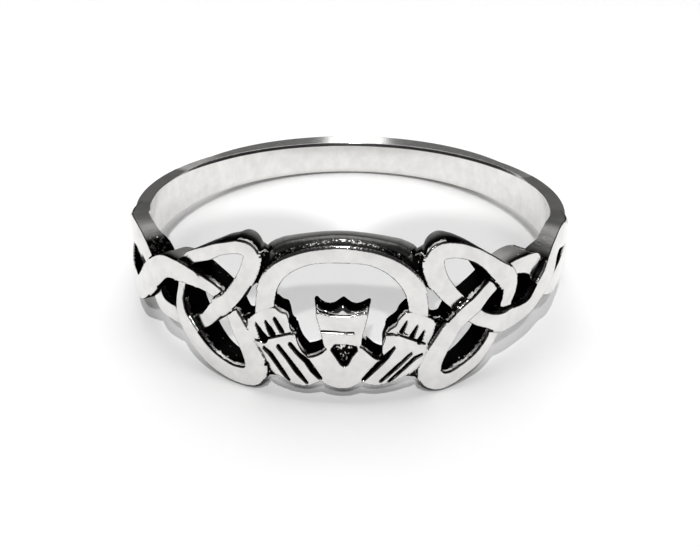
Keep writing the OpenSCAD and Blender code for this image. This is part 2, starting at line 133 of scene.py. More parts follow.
SUNK = 0.03  # how far under the band's face it ends
CURVE_POINTS = 6  # points of a curve to a row
ARC = FRONT_R * math.pi / 180  # millimetres on the front to a degree
OVERLAP = 2  # points by which a strand's lengths run on into each other
FAR = 9.0  # stands for a distance from metal that isn't there
TINY = 1e-9  # keeps a sum from being divided by nothing
LINE_REACH = 0.8  # a strand is looked for no further than this outside its line's box
SKIRT = 0.06  # a face is carried on this far past its outline, for the sheet's rim


def ramp(x, start, end):
    """How far x is on its way from start to end, 0 to 1."""
    return np.clip((x - start) / (end - start), 0, 1)


def smooth(rows):
    """A smooth curve through the rows. From row b to row c it also heeds their neighbours a and d."""
    rows = np.array(rows, float)
    rows = np.vstack([2 * rows[0] - rows[1], rows, 2 * rows[-1] - rows[-2]])
    s = np.arange(CURVE_POINTS)[:, None] / CURVE_POINTS
    curve = [
        0.5 * (2 * b + (c - a) * s + (2 * a - 5 * b + 4 * c - d) * s**2 + (3 * b - a - 3 * c + d) * s**3)
        for a, b, c, d in zip(rows, rows[1:], rows[2:], rows[3:])]
    return np.vstack(curve + [rows[-2:-1]])


def lengths(tables):
    """A strand's tables as lengths of one smooth curve, so that none crosses itself.

    Each runs on a little into the next.
    """
    curve = smooth([row for table in tables for row in table])
    cuts = np.cumsum([0] + [len(table) for table in tables]) * CURVE_POINTS
    return [curve[max(start - OVERLAP, 0):end + OVERLAP + 1] for start, end in zip(cuts, cuts[1:])]


def front_top(turn):
    """Radius of the front's face, easing down into the band at the shoulders."""
    return FRONT_R - (FRONT_R - BAND_R + SUNK) * ramp(np.abs(turn), *EASE)


def edge_drop(within, radius):
    """How far a face has fallen at a distance within its outline, for an edge softened to a radius."""
    away = np.clip(radius - within, 0, radius)
    return radius - np.sqrt(np.maximum(radius * radius - away * away, 0))


def near_line(points, rows):
    """For each point: its distance to the line through the rows, and the rows' other columns there.

    Points past the line's ends are far from it.
    """
    start = rows[:-1]
    end = rows[1:]
    step = end[:, :2] - start[:, :2]
    offset = points[:, None, :] - start[None, :, :2]
    share = (offset * step).sum(2) / np.maximum((step * step).sum(1), TINY)
    number = np.arange(len(start))
    past = ((share < 0) & (number == 0)) | ((share > 1) & (number == len(start) - 1))
    share = np.clip(share, 0, 1)
    gap = np.linalg.norm(offset - share[..., None] * step, axis=2) + past * FAR
    near = gap.argmin(1)
    each = np.arange(len(points))
    columns = start[near, 2:] + share[each, near][:, None] * (end[near, 2:] - start[near, 2:])
    return gap[each, near], columns


def flat(rows):
    """Rows with turn and height share turned to millimetres rolled flat."""
    rows = np.array(rows, float)
    rows[:, 0] *= ARC
    rows[:, 1] *= HALF
    return rows


def in_reach(points, rows, reach):
    """Which points lie within the rows' box, or no more than reach outside it."""
    lowest = rows[:, :2].min(0) - reach
    highest = rows[:, :2].max(0) + reach
    return np.flatnonzero((points >= lowest).all(1) & (points <= highest).all(1))


def lay(state, at, out, top):
    """Lays metal on the front at some points: how far each is outside it, and the radius of its face."""
    state["out"][at] = np.minimum(state["out"][at], out)
    on = out < SKIRT
    state["top"][at[on]] = np.maximum(state["top"][at[on]], top[on])


def add_line(state, points, rows, edge, set_back=0.0, rise=0.0):
    """Adds a strand, with its edges softened to a radius, set back from the face and raised along z."""
    rows = flat(rows) + np.array([0, rise, 0, 0])
    at = in_reach(points, rows, LINE_REACH)
    if not len(at):
        return
    gap, columns = near_line(points[at], rows)
    half = columns[:, 0] / 2
    edge = edge[at] if np.ndim(edge) else edge
    top = front_top(points[at, 0] / ARC) - set_back + WEAVE * columns[:, 1] - edge_drop(half - gap, edge)
    top -= CROWNING * np.clip(gap / half, 0, 1) ** 2
    lay(state, at, gap - half, top)


# Arms, cuffs, hands, heart and crown
# Cast in one with the knots. Two arms arch over the middle, a thicker bar behind them, and end
# in grooved cuffs. The hands, with cut finger grooves, hold a heart that is notched on top, and
# a three-pointed crown stands on it. The arms' rows are like a strand's; outlines have no width.
ARMS = [
    [-16.7, -0.14, 0.76, 0.0], [-16.7, 0.06, 0.76, 0.0], [-16.5, 0.24, 0.74, 0.0],
    [-15.7, 0.42, 0.71, 0.0], [-14.3, 0.56, 0.67, 0.0], [-12.4, 0.67, 0.62, 0.0], [-9.5, 0.77, 0.57, 0.0],
    [-5.5, 0.85, 0.56, 0.0], [0, 0.88, 0.62, 0.0], [5.5, 0.85, 0.56, 0.0], [9.3, 0.77, 0.59, 0.0],
    [12, 0.67, 0.65, 0.0], [14.3, 0.54, 0.71, 0.0], [16, 0.38, 0.76, 0.0], [16.8, 0.20, 0.78, 0.0],
    [16.8, 0.04, 0.79, 0.0], [16.7, -0.14, 0.76, 0.0]]
ARCH_BACK = [
    [-18, 0.50, 0.56, 0.0], [-16.5, 0.58, 0.56, 0.0], [-14.6, 0.70, 0.56, 0.0], [-12.8, 0.76, 0.56, 0.0],
    [-11, 0.80, 0.56, 0.0], [-5.5, 0.87, 0.56, 0.0], [0, 0.90, 0.56, 0.0], [5.5, 0.87, 0.56, 0.0],
    [11, 0.80, 0.56, 0.0], [12.8, 0.76, 0.56, 0.0], [14.6, 0.70, 0.56, 0.0], [16.5, 0.58, 0.56, 0.0],
    [18, 0.50, 0.56, 0.0]]
ARCH_RISE = 0.17  # how far the bar rises over the arch's upper edge
ARCH_SET_BACK = 0.46  # and how far it is set back
ARCH_EDGE = 0.2  # radius of its softened edges
CUFF_RISE = 0.01  # how far the cuffs stand out of the front's face
HAND_RISE = 0.05  # and the hands
CROWN_WALL = 0.75  # the crown's thickness
CROWN_LIP = 0.18  # what the rounded lip along its top adds to its edges' radius
LIP = (0.1, 0.15)  # the height shares over which the lip begins
PLATE_REACH = 0.2  # a plate is looked for no further than this outside its outline's box
FIGURE = {
    "cuff_left": (CUFF_RISE, [
        [-18.8, 0.04], [-20.5, -0.06], [-20.7, -0.14], [-20.2, -0.25], [-19.1, -0.34], [-16.7, -0.28],
        [-13.4, -0.20], [-9.8, -0.16], [-10.9, -0.11], [-11.2, 0], [-11.7, 0.09], [-13.1, 0.10],
        [-14.4, 0.16]]),
    "cuff_right": (CUFF_RISE, [
        [19.3, 0.03], [20.5, -0.02], [20.8, -0.08], [20.3, -0.19], [19.5, -0.30], [18.9, -0.33],
        [16.9, -0.29], [14.6, -0.17], [12.1, -0.14], [9.6, -0.15], [10.3, -0.10], [12, -0.04],
        [12.6, 0.05], [14.3, 0.14]]),
    "hand_left": (HAND_RISE, [
        [-19.1, -0.34], [-16.7, -0.28], [-13.4, -0.20], [-9.8, -0.16], [-9.2, -0.29], [-8.4, -0.38],
        [-7.0, -0.47], [-3.4, -0.76], [-4.6, -0.80], [-6.8, -0.86], [-8, -0.87], [-10, -0.86],
        [-11.9, -0.82], [-14.2, -0.75], [-15.4, -0.68], [-16.5, -0.54], [-17.7, -0.42]]),
    "hand_right": (HAND_RISE, [
        [19, -0.33], [16.9, -0.29], [14.6, -0.17], [12.1, -0.14], [9.6, -0.15], [9.6, -0.21], [8.9, -0.32],
        [9, -0.40], [9.8, -0.48], [4.2, -0.76], [5, -0.80], [6.4, -0.83], [8.2, -0.84], [10.1, -0.82],
        [12.6, -0.78], [14.9, -0.72], [16.6, -0.65], [17.7, -0.58], [18.6, -0.46]]),
    "heart": (FIGURE_RISE, [
        [-3.1, -0.33], [-3.9, -0.39], [-5.5, -0.44], [-7.4, -0.47], [-8.7, -0.49], [-7.4, -0.57],
        [-5.5, -0.68], [-4, -0.79], [-2.7, -0.84], [-0.8, -0.87], [0.8, -0.88], [2.3, -0.86], [3.9, -0.81],
        [5, -0.77], [6.6, -0.66], [8.5, -0.55], [9.8, -0.47], [9.1, -0.50], [7.2, -0.45], [5.6, -0.36],
        [4.4, -0.29]]),
    "crown": (FIGURE_RISE, [
        [-5.6, 0.22], [-5.2, 0.08], [-4.6, -0.04], [-4.1, -0.15], [-3.4, -0.36], [4.4, -0.33],
        [4.8, -0.14], [5.3, -0.03], [5.8, 0.09], [6.2, 0.22], [5.7, 0.23], [5.0, 0.21], [4.2, 0.18],
        [3.2, 0.165], [2.2, 0.18], [1.3, 0.22], [0.5, 0.26], [-0.4, 0.22], [-1.2, 0.18], [-2.3, 0.16],
        [-3.5, 0.175], [-4.3, 0.21], [-5.0, 0.255]])}
HEART_NOTCH = [
    [-2.1, -0.34], [-1.3, -0.27], [1.6, -0.27], [3.5, -0.29], [3.8, -0.34], [2.6, -0.43], [1.7, -0.54],
    [0.9, -0.57], [0.1, -0.54], [-1.1, -0.43]]
NOTCH_DEPTH = 0.4
NOTCH_SLOPE = 0.07  # how wide its sloped sides are
# turn, height share and width in millimetres along each groove
GROOVES = [
    [[-18.9, -0.10, 0.04], [-17.9, -0.20, 0.18], [-17.0, -0.29, 0.34]],
    [[-16.6, -0.05, 0.05], [-15.6, -0.15, 0.2], [-14.9, -0.22, 0.22]],
    [[-14.4, 0.0, 0.1], [-13.2, -0.12, 0.15], [-12.6, -0.17, 0.12]],
    [[-19.1, -0.33, 0.03], [-18, -0.325, 0.05], [-15, -0.25, 0.05], [-13, -0.21, 0.04],
     [-10.8, -0.165, 0.03]],
    [[-16.9, -0.41, 0.1], [-15.4, -0.48, 0.15], [-12.6, -0.70, 0.13], [-11.2, -0.81, 0.07]],
    [[-13.6, -0.36, 0.13], [-11.6, -0.50, 0.13], [-9.3, -0.68, 0.17], [-7.2, -0.82, 0.07]],
    [[-10.9, -0.31, 0.13], [-9.3, -0.42, 0.12], [-7.2, -0.52, 0.2], [-5.8, -0.64, 0.22],
     [-4.3, -0.74, 0.12]],
    [[14.3, 0.0, 0.05], [13.2, -0.13, 0.15]],
    [[16.7, -0.07, 0.05], [15.5, -0.21, 0.18]],
    [[18.3, -0.15, 0.05], [17.3, -0.28, 0.2]],
    [[10.2, -0.14, 0.03], [12.8, -0.165, 0.03], [15.5, -0.235, 0.05], [18.5, -0.32, 0.03]],
    [[11.6, -0.33, 0.08], [9.7, -0.46, 0.2], [7.2, -0.61, 0.18], [5, -0.75, 0.12]],
    [[15.4, -0.43, 0.08], [12, -0.61, 0.12], [8.8, -0.78, 0.08]],
    [[17.8, -0.46, 0.08], [16.2, -0.50, 0.12], [10.6, -0.79, 0.08]],
    [[-3.9, -0.10, 0.08], [-1.2, -0.105, 0.06], [0.9, -0.107, 0.05]],
    [[1.4, -0.11, 0.05], [2.8, -0.115, 0.06]],
    [[-5.3, 0.20, 0.02], [-4.4, 0.155, 0.05], [-2, 0.12, 0.05], [0.7, 0.115, 0.04], [3.1, 0.125, 0.03],
     [5.4, 0.165, 0.02]]]
GROOVE_DEPTH = 0.28
GROOVE_SLOPE = 0.05
GROOVE_OVER = 0.01  # a groove's slopes begin this far outside its width
CARVE_REACH = 0.3  # a cut is looked for no further than this outside its rows' box
CORNER = 0.18  # the share of a side that is cut off at each of its corners


def rounded(outline, times):
    """An outline with its corners cut, times over."""
    corners = np.array(outline, float)
    for _ in range(times):
        nexts = np.roll(corners, -1, 0)
        pairs = [(1 - CORNER) * corners + CORNER * nexts, CORNER * corners + (1 - CORNER) * nexts]
        corners = np.stack(pairs, 1).reshape(-1, 2)
    return corners


def outside(points, outline):
    """How far each point is outside a closed outline, below 0 inside it."""
    nexts = np.roll(outline, -1, 0)
    side = nexts - outline
    offset = points[:, None, :] - outline[None]
    share = np.clip((offset * side).sum(2) / np.maximum((side * side).sum(1), TINY), 0, 1)
    gap = np.linalg.norm(offset - share[..., None] * side, axis=2).min(1)
    # from a point inside, a line to the right crosses the outline an odd number of times
    height = points[:, 1][:, None]
    spans = (outline[:, 1] > height) != (nexts[:, 1] > height)
    rise = np.where(side[:, 1] == 0, TINY, side[:, 1])
    crossing = outline[:, 0] + (height - outline[:, 1]) * side[:, 0] / rise
    inside = (spans & (points[:, 0][:, None] < crossing)).sum(1) % 2 == 1
    return np.where(inside, -gap, gap)


def add_plate(state, points, outline, top, edge=0):
    """Adds a plate with an outline in millimetres, its face at a radius and its edges softened."""
    at = in_reach(points, outline, PLATE_REACH)
    if not len(at):
        return
    out = outside(points[at], outline)
    lay(state, at, out, top - edge_drop(-out, edge[at] if np.ndim(edge) else edge))


def carve(state, points, shape, depth, slope, closed=False):
    """Cuts a groove, or a closed recess, with sloped sides into what has been laid."""
    rows = flat(shape)
    at = in_reach(points, rows, CARVE_REACH)
    if not len(at):
        return
    if closed:
        within = -outside(points[at], rows)
    else:
        gap, columns = near_line(points[at], np.vstack([rows[0], rows, rows[-1]]))
        within = columns[:, 0] / 2 + GROOVE_OVER - gap
    cut = depth * ramp(within, 0, slope)
    state["top"][at] -= cut
    state["cut"][at] = np.maximum(state["cut"][at], cut)


# The webs
# Cast webs, set well back and left black, tie arms and hands to the knots, and a plate lies
# behind the hands. Rows: turn and height share at each end of a web, and width in millimetres.
WEBS = [
    [-13, 0.55, -20, 0.70, 0.9], [-17, 0.45, -20, 0.55, 0.9], [-18, -0.20, -24, -0.17, 0.6],
    [-19.5, -0.2, -22.5, -0.25, 0.9], [-17, -0.5, -20.5, -0.5, 0.9], [-14, -0.75, -19, -0.78, 0.6],
    [13, 0.55, 20, 0.70, 0.9], [17, 0.45, 20.5, 0.55, 0.9], [18, -0.20, 25.5, -0.17, 0.6],
    [19.5, -0.2, 23, -0.25, 0.9], [18, -0.5, 21, -0.5, 0.9], [15, -0.72, 20, -0.78, 0.6]]
BACKING = [
    [-20.3, -0.20], [-10.8, -0.24], [-9.3, -0.44], [-7.5, -0.53], [-5, -0.49], [-3, -0.42], [3.5, -0.41],
    [5.5, -0.47], [8.5, -0.53], [9.4, -0.44], [10.6, -0.24], [20.3, -0.20], [22.2, -0.50], [21, -0.76],
    [16.4, -0.62], [12, -0.74], [8, -0.79], [4.5, -0.74], [0, -0.82], [-4, -0.75], [-8, -0.81],
    [-12, -0.75], [-16, -0.60], [-20.4, -0.78], [-22, -0.50]]
WEB_SET_BACK = 0.42  # how far the webs are set back from the front's face
BACKING_SET_BACK = 0.5  # and the plate


def bar(row):
    """A web's outline."""
    start = np.array([row[0] * ARC, row[1] * HALF])
    end = np.array([row[2] * ARC, row[3] * HALF])
    along = (end - start) / np.linalg.norm(end - start)
    side = np.array([-along[1], along[0]]) * row[4] / 2
    return np.array([start + side, end + side, end - side, start - side])


def front_at(points):
    """The whole front at points rolled flat, as a row of values for each of four things.

    They are how far a point is outside the metal, the radius of the face there, how deep a groove
    has been cut into it, and whether a web is what shows.
    """
    zeros = np.zeros(len(points))
    state = {"out": zeros + FAR, "top": zeros - FAR, "cut": zeros}
    edge = STRAND_EDGE + SHOULDER_EDGE * ramp(np.abs(points[:, 0] / ARC), *SHOULDER)
    for rows in lengths(LEFT_KNOT) + lengths(RIGHT_KNOT):
        add_line(state, points, rows, edge)
    add_line(state, points, smooth(ARMS), STRAND_EDGE)
    for name, (rise, outline) in FIGURE.items():
        crown = name == "crown"
        lip = CROWN_LIP * ramp(points[:, 1] / HALF, *LIP) if crown else 0
        shape = flat(rounded(outline, 2 if crown else 1))
        add_plate(state, points, shape, FRONT_R + rise, STRAND_EDGE + lip)
    for rows in GROOVES:
        carve(state, points, rows, GROOVE_DEPTH, GROOVE_SLOPE)
    carve(state, points, HEART_NOTCH, NOTCH_DEPTH, NOTCH_SLOPE, closed=True)
    before = state["top"].copy()
    add_line(state, points, smooth(ARCH_BACK), ARCH_EDGE, ARCH_SET_BACK, ARCH_RISE)
    for row in WEBS:
        add_plate(state, points, bar(row), FRONT_R - WEB_SET_BACK)
    add_plate(state, points, flat(BACKING), FRONT_R - BACKING_SET_BACK)
    state["web"] = (state["top"] > before).astype(float)
    return state


# The front's face and walls
# One skin over knots, arms, figure and webs, pierced right through to the finger, polished
# where the wheel reached and left black elsewhere. The face is a fine sheet whose rim is
# drawn onto the metal's true outline, and the walls of the piercing drop from that rim.
CELL = 0.034  # the size of the sheet's faces
PARTS = (("left", -90, -15), ("middle", -15, 15), ("right", 15, 90))  # each from one turn to another
MARGIN = 0.12  # the sheet reaches this far past the front's edges
GENTLEST = 0.3  # least slope that the distance from the metal is taken to have
COLUMN = 0.1  # the upper outline is looked for in columns this wide
TOP_MARGIN = 0.12  # and is what lies no lower than this under a column's top, or its neighbours'
SEAM = 0.001  # points this near to where two parts meet are on the seam
BAND_END = 63  # the turn where the plain band ends and the two strands of a shoulder begin
CROWN_AT = 0.3  # turn of the crown's middle
CROWN_BACK = 7  # the crown's thin part reaches this many degrees to each side of that
CROWN_FOOT = -0.34 * HALF
CROWN_HEAD = 0.4 * HALF
STRAIGHT_BACK = (26, 16)  # the turns over which the walls come to run straight back, not to the finger
FLARE = 0.4  # how much wider the shoulders open on their upper side
FLARE_Z = (0.9, 1.5)  # the heights over which they do
FLARE_BEGINS = (50, 56)  # the turns over which that begins
FLARE_ENDS = (60, 74)  # and ends
UNDER_BAND = 0.01  # how far the strands' inside lies in the band's metal


def highest_near(table):
    """The highest of each cell and its eight neighbours."""
    wide, deep = table.shape
    padded = np.pad(table, 1, mode="edge")
    return np.max([padded[i:i + wide, j:j + deep] for i in range(3) for j in range(3)], axis=0)


def sheet(cell, turn0, turn1):
    """The metal between two turns as a sheet of cells: its points rolled flat, faces and state.

    The state has two more rows: how deep a point lies beside a higher one, and the way out of
    the metal there.
    """
    along = np.linspace(turn0 * ARC, turn1 * ARC, int((turn1 - turn0) * ARC / cell) + 1)
    heights = np.arange(-HALF - MARGIN, HALF + ARCH_RISE + MARGIN + cell, cell)
    shape = (len(along), len(heights))
    points = np.stack(np.meshgrid(along, heights, indexing="ij"), 2).reshape(-1, 2)
    first = front_at(points)
    now = first["out"].copy()
    slope = np.stack(np.gradient(now.reshape(shape), cell), 2)
    slope /= np.maximum(np.linalg.norm(slope, axis=2, keepdims=True), GENTLEST)
    slope = slope.reshape(-1, 2)
    # points near the outline move onto it
    near = np.abs(first["out"]) < 0.5 * cell
    for _ in range(2):
        points[near] -= now[near, None] * slope[near]
        now[near] = front_at(points[near])["out"]
    ids = np.arange(len(points)).reshape(shape)
    quads = np.stack([ids[:-1, :-1], ids[1:, :-1], ids[1:, 1:], ids[:-1, 1:]], 2).reshape(-1, 4)
    inside = ((first["out"] < 0) | near)[quads]
    solid = (first["out"] < -0.5 * cell)[quads].any(1)
    count = inside.sum(1)
    faces = [[int(v) for v in q] for q in quads[(count == 4) & solid]]
    for q, i in zip(quads[(count == 3) & solid], inside[(count == 3) & solid]):
        faces.append([int(v) for v, k in zip(q, i) if k])
    used = np.unique(np.concatenate([np.ravel(f) for f in faces]).astype(int))
    index = np.full(len(points), -1)
    index[used] = np.arange(len(used))
    highest = highest_near(np.where(first["out"] < 0, first["top"], -FAR).reshape(shape))
    state = front_at(points[used])
    state["beside"] = np.clip(highest.ravel()[used] - state["top"], 0, 1)
    state["slope"] = slope[used]
    return points[used], [[int(index[i]) for i in f] for f in faces], state


def rims(faces):
    """Edges that belong to one face only, each in its face's direction."""
    edges = dict.fromkeys((a, b) for f in faces for a, b in zip(f, f[1:] + f[:1]))
    return [(a, b) for a, b in edges if (b, a) not in edges]


def on_top(points, ids):
    """Which of the points are on the ring's own upper outline, with no metal above them."""
    column = np.round(points[:, 0] / COLUMN).astype(int)
    top = {}
    for number, height in zip(column, points[:, 1]):
        top[number] = max(top.get(number, -FAR), height)
    around = [min(top.get(column[i] + k, FAR) for k in (-2, -1, 0, 1, 2)) for i in ids]
    return points[ids, 1] > np.array(around) - TOP_MARGIN


def inward(points, depth):
    """Points with the middle ones drawn together with depth: its walls run straight back."""
    moved = points.copy()
    moved[:, 0] *= 1 + ramp(np.abs(points[:, 0] / ARC), *STRAIGHT_BACK) * (FRONT_R / FINGER_R - 1) * depth
    return moved


def inside_r(points):
    """Radius of the front's inside: the finger's, or that of the thin crown's back.

    The shoulders' upper side flares there, as it is narrower than the rest.
    """
    turn = np.abs(points[:, 0] / ARC)
    height = points[:, 1]
    flare = FLARE * ramp(height, *FLARE_Z) * ramp(turn, *FLARE_BEGINS) * (1 - ramp(turn, *FLARE_ENDS))
    crown = np.abs(points[:, 0] / ARC - CROWN_AT) < CROWN_BACK
    crown &= (height > CROWN_FOOT) & (height < CROWN_HEAD)
    inside = FINGER_R + flare + UNDER_BAND * (turn > BAND_END)
    return np.where(crown, FRONT_R + FIGURE_RISE - CROWN_WALL, inside)


def wrap(points, radius):
    """Points rolled flat as points of the ring's own frame, at a radius."""
    angle = points[:, 0] / FRONT_R
    return np.stack([radius * np.sin(angle), -radius * np.cos(angle), points[:, 1]], 1)


def linear(colour):
    """A sRGB hex colour as linear light."""
    shares = [int(colour[i:i + 2], 16) / 255 for i in (1, 3, 5)]
    return [x / 12.92 if x <= 0.04045 else ((x + 0.055) / 1.055) ** 2.4 for x in shares] + [1]


def node(tree, kind, settings=None, links=None):
    """Adds a node with its settings and its inputs, each a value or another node's output."""
    made = tree.nodes.new(kind)
    for name, value in (settings or {}).items():
        setattr(made, name, value)
    for socket, value in (links or {}).items():
        if isinstance(value, bpy.types.NodeSocket):
            tree.links.new(value, made.inputs[socket])
        else:
            made.inputs[socket].default_value = value
    return made


# Sterling silver, cast, blackened with liver of sulphur and polished by wheel. All that stands
# out is a bright mirror. The recesses keep a dull black skin, rough from the casting, with
# specks of bare metal where the wheel caught its high spots.
SKIN = 1 / 9  # grain of the casting's skin, in millimetres
SPECK = 2 / 15  # size of the specks of bare metal
CLOUD = 5 / 9  # and of the faint clouds in the polish
SKIN_DEPTH = 0.02  # how deep the grain is
BRIGHT = "#E6E5E3"
CLOUDED = "#D9D8D6"
PATINA = "#100F0F"
PATINA_EDGE = "#404040"  # black skin has no bright reflection at a flat angle, as bare metal has
POLISHED = 0.16  # roughness of bare metal
DULL = 0.4  # and of the black skin
SHEEN_ROUGH = 0.3  # what the painted sheen adds to it
POLISHED_BUMP = 0.06
DULL_BUMP = 0.8
UNEVEN = 0.12  # how much the grain shifts the black's edge
BLACK_FROM = 0.06  # the tones over which the metal turns black
BLACK_TO = 0.2
SPECK_LIMIT = 0.74  # a speck shows where its pattern is over this
SPECK_GAIN = 0.3  # less this much where the wheel caught the metal most
SPECK_SOFT = 0.05
MIX_BY = 0  # the sockets of a colour mix, by number
MIX_A = 6
MIX_B = 7
MIXED = 2
silver = bpy.data.materials.new("oxidised_sterling_silver")
silver.use_nodes = True
tree = silver.node_tree
tree.nodes.clear()
where = node(tree, "ShaderNodeTexCoord").outputs["Object"]
black = node(tree, "ShaderNodeAttribute", {"attribute_name": "black"}).outputs["Fac"]
painted_sheen = node(tree, "ShaderNodeAttribute", {"attribute_name": "painted_sheen"}).outputs["Fac"]
caught = node(tree, "ShaderNodeAttribute", {"attribute_name": "fleck"}).outputs["Fac"]
skin = node(tree, "ShaderNodeTexNoise", links={
    "Vector": where, "Scale": 1000 / SKIN, "Detail": 3.0, "Roughness": 0.6}).outputs["Fac"]
specks = node(tree, "ShaderNodeTexNoise", links={
    "Vector": where, "Scale": 1000 / SPECK, "Detail": 2.0, "Roughness": 0.5})
clouds = node(tree, "ShaderNodeTexNoise", links={
    "Vector": where, "Scale": 1000 / CLOUD, "Detail": 4.0, "Roughness": 0.65})
# the more the wheel caught a place, the lower the limit over which a speck shows
limit = node(tree, "ShaderNodeMath", {"operation": "MULTIPLY_ADD"}, {
    0: caught, 1: -SPECK_GAIN, 2: SPECK_LIMIT})
over = node(tree, "ShaderNodeMath", {"operation": "SUBTRACT"}, {
    0: specks.outputs["Fac"], 1: limit.outputs[0]})
fleck = node(tree, "ShaderNodeMapRange", links={"Value": over.outputs[0], "From Max": SPECK_SOFT})
# the black skin ends in a soft, uneven edge
uneven = node(tree, "ShaderNodeMath", {"operation": "MULTIPLY_ADD"}, {
    0: skin, 1: UNEVEN, 2: -UNEVEN / 2})
blackened = node(tree, "ShaderNodeMath", {"operation": "ADD", "use_clamp": True}, {
    0: black, 1: uneven.outputs[0]})
mask = node(tree, "ShaderNodeMapRange", {"interpolation_type": "SMOOTHSTEP"}, {
    "Value": blackened.outputs[0], "From Min": BLACK_FROM, "From Max": BLACK_TO})
bare = node(tree, "ShaderNodeMath", {"operation": "MULTIPLY"}, {0: mask.outputs[0], 1: fleck.outputs[0]})
unflecked = node(tree, "ShaderNodeMath", {"operation": "SUBTRACT", "use_clamp": True}, {
    0: mask.outputs[0], 1: bare.outputs[0]})
# painted sheen: by the sheen tone the black skin gives way to rougher bare silver, so tops read grey
# rather than black
sheened = node(tree, "ShaderNodeMath", {"operation": "MULTIPLY"}, {0: unflecked.outputs[0], 1: painted_sheen})
patina = node(tree, "ShaderNodeMath", {"operation": "SUBTRACT", "use_clamp": True}, {
    0: unflecked.outputs[0], 1: sheened.outputs[0]})
cloudy = node(tree, "ShaderNodeMapRange", links={
    "Value": clouds.outputs["Fac"], "From Min": 0.35, "From Max": 0.65})
polish = node(tree, "ShaderNodeMix", {"data_type": "RGBA"}, {
    MIX_BY: cloudy.outputs[0], MIX_A: linear(CLOUDED), MIX_B: linear(BRIGHT)})
colour = node(tree, "ShaderNodeMix", {"data_type": "RGBA"}, {
    MIX_BY: patina.outputs[0], MIX_A: polish.outputs[MIXED], MIX_B: linear(PATINA)})
edge_tint = node(tree, "ShaderNodeMix", {"data_type": "RGBA"}, {
    MIX_BY: patina.outputs[0], MIX_A: linear("#FFFFFF"), MIX_B: linear(PATINA_EDGE)})
rough = node(tree, "ShaderNodeMapRange", links={
    "Value": patina.outputs[0], "To Min": POLISHED, "To Max": DULL})
rougher = node(tree, "ShaderNodeMath", {"operation": "MULTIPLY_ADD"}, {
    0: sheened.outputs[0], 1: SHEEN_ROUGH, 2: rough.outputs[0]})
bump_size = node(tree, "ShaderNodeMapRange", links={
    "Value": mask.outputs[0], "To Min": POLISHED_BUMP, "To Max": DULL_BUMP})
bump = node(tree, "ShaderNodeBump", links={
    "Strength": bump_size.outputs[0], "Distance": SKIN_DEPTH / 1000, "Height": skin})
shine = node(tree, "ShaderNodeBsdfPrincipled", links={
    "Base Color": colour.outputs[MIXED], "Specular Tint": edge_tint.outputs[MIXED], "Metallic": 1.0,
    "Roughness": rougher.outputs[0], "Normal": bump.outputs[0]})
node(tree, "ShaderNodeOutputMaterial", links={"Surface": shine.outputs[0]})

WALL_ROWS = (0.0, 0.04, 0.1, 0.18, 0.3, 0.5, 0.75, 1.0)  # points down a wall, as shares of its depth
CUT_BLACK = (0.04, 0.14)  # the depths over which a cut turns black
UNDER_BLACK = (0.05, 0.13)  # the depths beside a higher strand over which metal does
CUT_SPECKS = (0, 0.2)  # the depths of a cut over which specks come in
IN_CUT = 0.25  # and how dense they are
NOTCH_SPECKS = (0.3, 0.38)  # the same for the heart's notch, whose specks are added to those
IN_NOTCH = 0.4
UNDER_SPECKS = (0.1, 0.3)  # and beside a higher strand
IN_SHADOW = 0.6
RIM_BLACK = 0.35  # how black the face is along its outline
RIM_TURNS = (72, 64)  # the turns over which that begins, from the band
BEADS_TO = 14  # the turn to which beads of bare metal stand on the bar, beside the arch's face
BEADS = 0.85  # how dense they are
BEAD_WIDTH = 0.17  # how far from the arch's edge they reach
BEAD_SOFT = 0.06  # over how much of that they thin out
ON_BAR = 0.5 * HALF  # the arch's bar is the web that stands higher than this
BAR_EDGE = 0.25  # how far in from the bar's edge its black is lightened by a painted sheen
BAR_SHEEN = 0.2  # and how much
SIDE_SHEEN = 0.27  # how much painted sheen lightens the black on the upper side of shoulders and band
OUTER_UP = 0.1  # how much a wall looks up, 0 to 1, for it to be on the upper outline
LOOKS_UP = 0.25  # and for the wheel to have caught it
STREAK_AT = 0.12  # depth, as a share, of the streak of bare metal on such a wall
STREAK_WIDTH = 0.07
STREAK = 2.0  # how dense the specks are in it, which is solid
LEFT_OVER = 0.1  # and on the other walls
ARCH_SHEEN = 0.08  # how much painted sheen lightens the arch's upper outline at its face
ARCH_SHEEN_DEEP = 0.5  # and what a wall's whole depth adds
OUTLINE_SHEEN = 0.4  # how much painted sheen lightens the knots' upper outline, deep down
TIPS_SHEEN = (0.45, 0.95)  # the depths, as shares, over which that comes in on their tips
SLOPES_SHEEN = (0.05, 0.4)  # and on their slopes
CROWN_END = 7  # turn just past the crown's sides
ARCH_END = 16  # turn of the arch's ends
TIPS = (16.5, 23)  # the turns between which the upper outline is the knots' tips
SLOPES = 36  # from this turn on it slopes down to the shoulders
SHOULDER_SPECKS = 46.5  # from here on it has more specks
SPECKS_ADDED = 0.5
SHOULDER_SLOPE = 48  # from here it has no painted sheen, as far as the shoulder's own top
SHOULDER_START = (53.6, 54.8)  # the turns over which that begins, which has the painted sheen and no specks
